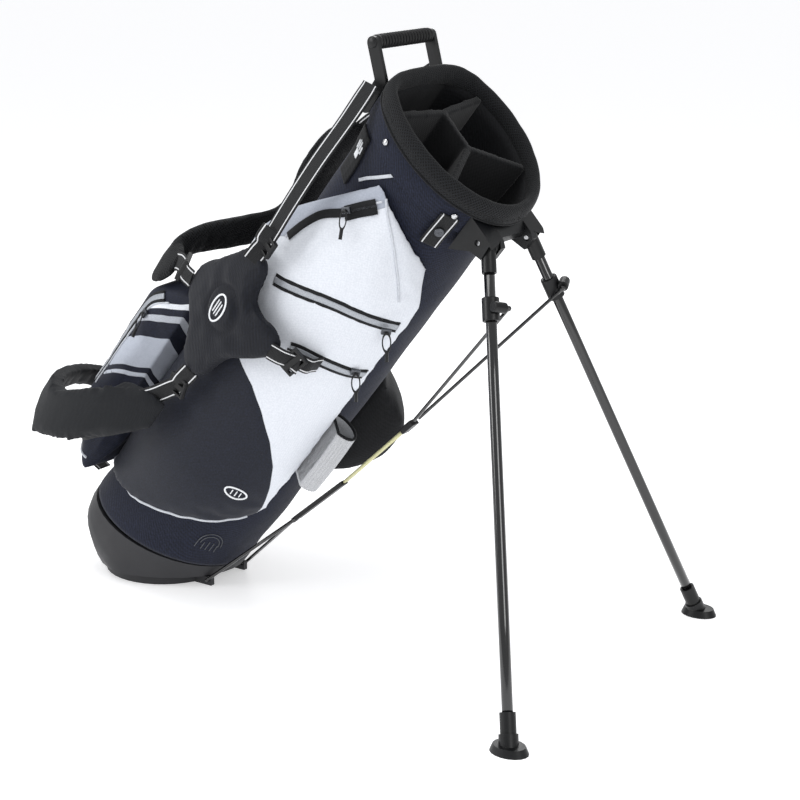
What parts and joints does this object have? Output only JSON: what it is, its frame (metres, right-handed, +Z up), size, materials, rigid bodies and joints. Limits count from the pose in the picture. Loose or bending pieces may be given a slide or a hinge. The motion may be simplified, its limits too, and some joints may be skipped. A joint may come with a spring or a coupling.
{
  "type": "golf stand bag",
  "caption": "Golf stand bag leaning on two spread legs, with a divided club mouth, full pockets, a carry handle, shoulder pads and a rocking foot plate.",
  "frame": {"origin": "centre of the foot plate's sole, on the floor", "axes": "+Z up, +X from the base towards the feet of the legs, +Y to the bag's left side seen from the feet"},
  "size_m": [0.8842, 0.5206, 0.7579],
  "materials": {
    "navy_fabric": "woven polyester",
    "black_fabric": "knitted spacer mesh and fleece",
    "white_fabric": "coated woven polyester",
    "grey_mesh": "ribbed elastic knit",
    "webbing": "flat woven webbing with white edge lines",
    "black_plastic": "moulded nylon",
    "base_plastic": "moulded, fine texture",
    "leg_enamel": "gloss black",
    "bright_steel": "polished",
    "fibreglass": "pale pultruded rod"
  },
  "bodies": {
    "bag": {"bag_shell": "navy_fabric", "ball_pocket": "navy_fabric", "hub_pad": "navy_fabric", "lower_shoulder_pad": "navy_fabric", "near_pocket": "white_fabric", "cuff_roll": "black_fabric", "club_divider": "black_fabric", "far_pocket": "black_fabric", "upper_shoulder_pad": "black_fabric", "glove_patch": "black_fabric", "drink_sleeve": "grey_mesh", "strap_top_near": "webbing", "strap_top_far": "webbing", "strap_side": "webbing", "base_loop": "webbing", "snap_tab": "webbing", "top_collar": "black_plastic", "handle_frame": "black_plastic", "handle_grip": "black_plastic", "leg_housing": "black_plastic", "buckle_top": "black_plastic", "buckle_front": "black_plastic", "buckle_bottom": "black_plastic", "buckle_back": "black_plastic", "near_stay": "black_plastic", "far_stay": "black_plastic", "spine_stay": "black_plastic", "base_cup": "base_plastic", "pivot_pin_near": "bright_steel", "pivot_pin_far": "bright_steel", "rocker_pin": "bright_steel", "snap_button": "bright_steel", "collar_rivet_near_back": "bright_steel", "collar_rivet_near_front": "bright_steel", "collar_rivet_far_back": "bright_steel", "collar_rivet_far_front": "bright_steel"},
    "foot_rocker": {"foot_plate": "base_plastic"},
    "push_rod": {"lower_fork": "leg_enamel", "rod_sleeve": "black_plastic", "fibre_rod_near": "fibreglass", "fibre_rod_far": "fibreglass", "rod_junction": "black_plastic"},
    "upper_rod_near_body": {"upper_rod_near": "leg_enamel"},
    "upper_rod_far_body": {"upper_rod_far": "leg_enamel"},
    "leg_near": {"leg_hub_near": "black_plastic", "leg_tube_near": "leg_enamel", "leg_collar_near": "black_plastic", "leg_foot_near": "black_plastic"},
    "leg_far": {"leg_hub_far": "black_plastic", "leg_tube_far": "leg_enamel", "leg_collar_far": "black_plastic", "leg_foot_far": "black_plastic"},
    "collar_zip_slide_body": {"collar_zip_slider": "bright_steel"},
    "collar_zip_pull_body": {"collar_zip_pull": "black_plastic"},
    "chest_zip_slide_body": {"chest_zip_slider": "bright_steel"},
    "chest_zip_pull_body": {"chest_zip_pull": "black_plastic"},
    "side_zip_slide_body": {"side_zip_slider": "bright_steel"},
    "side_zip_pull_body": {"side_zip_pull": "black_plastic"},
    "ball_zip_slide_body": {"ball_zip_slider": "bright_steel"},
    "ball_zip_pull_body": {"ball_zip_pull": "black_plastic"}
  },
  "joints": [
    {"name": "leg_fold_near", "type": "hinge", "parent": "bag", "child": "leg_near", "pos_m": [0.54653, -0.046, 0.52312], "axis": [0.3606, 0.9033, -0.2322], "range_deg": [0, 54.02]},
    {"name": "leg_fold_far", "type": "hinge", "parent": "bag", "child": "leg_far", "pos_m": [0.54653, 0.046, 0.52312], "axis": [-0.3606, 0.9033, 0.2322], "range_deg": [0, 54.03]},
    {"name": "foot_rock", "type": "hinge", "parent": "bag", "child": "foot_rocker", "pos_m": [-0.074, 0, 0.007], "axis": [0, 1, 0], "range_deg": [0, 21.01]},
    {"name": "push_rod_swing", "type": "hinge", "parent": "foot_rocker", "child": "push_rod", "pos_m": [0.104, 0, 0.009], "axis": [0, -1, 0], "range_deg": [0, 25.76]},
    {"name": "upper_rod_near_swing", "type": "hinge", "parent": "push_rod", "child": "upper_rod_near_body", "pos_m": [0.41382, 0, 0.27529], "axis": [-0.635, -0.6801, 0.3663], "range_deg": [0, 7.8]},
    {"name": "upper_rod_far_swing", "type": "hinge", "parent": "push_rod", "child": "upper_rod_far_body", "pos_m": [0.41382, 0, 0.27529], "axis": [0.635, -0.6801, -0.3663], "range_deg": [0, 7.8]},
    {"name": "collar_zip_slide", "type": "slide", "parent": "bag", "child": "collar_zip_slide_body", "axis": [0.9694, 0.1899, 0.1553], "range_m": [0, 0.026]},
    {"name": "chest_zip_slide", "type": "hinge", "parent": "bag", "child": "chest_zip_slide_body", "pos_m": [0.34608, 0, 0.46796], "axis": [-0.3675, 0.1127, -0.9232], "range_deg": [0, 48]},
    {"name": "side_zip_slide", "type": "hinge", "parent": "bag", "child": "side_zip_slide_body", "pos_m": [0.30833, 0, 0.41964], "axis": [-0.3979, 0.181, -0.8994], "range_deg": [0, 12]},
    {"name": "ball_zip_slide", "type": "slide", "parent": "bag", "child": "ball_zip_slide_body", "axis": [-0.6157, 0, -0.788], "range_m": [0, 0.11]},
    {"name": "collar_zip_pull_swing", "type": "hinge", "parent": "collar_zip_slide_body", "child": "collar_zip_pull_body", "pos_m": [0.40386, -0.13318, 0.56225], "axis": [-0.0718, -0.9691, 0.2361], "range_deg": [-35, 35]},
    {"name": "chest_zip_pull_swing", "type": "hinge", "parent": "chest_zip_slide_body", "child": "chest_zip_pull_body", "pos_m": [0.44431, -0.10614, 0.41516], "axis": [0.6299, -0.7719, 0.0855], "range_deg": [-35, 35]},
    {"name": "side_zip_pull_swing", "type": "hinge", "parent": "side_zip_slide_body", "child": "side_zip_pull_body", "pos_m": [0.39858, -0.10517, 0.35826], "axis": [0.6299, -0.7719, 0.0855], "range_deg": [-35, 35]},
    {"name": "ball_zip_pull_swing", "type": "hinge", "parent": "ball_zip_slide_body", "child": "ball_zip_pull_body", "pos_m": [0.05747, -0.10244, 0.38872], "axis": [-0.3527, -0.8381, 0.4162], "range_deg": [-35, 35]}
  ],
  "couplings": [
    {"joint": "leg_fold_far", "follows": "leg_fold_near", "ratio": 1},
    {"joint": "foot_rock", "follows": "leg_fold_near", "ratio": 0.38877},
    {"joint": "push_rod_swing", "follows": "leg_fold_near", "ratio": 0.47674},
    {"joint": "upper_rod_near_swing", "follows": "leg_fold_near", "ratio": 0.14426},
    {"joint": "upper_rod_far_swing", "follows": "leg_fold_near", "ratio": 0.14426}
  ]
}
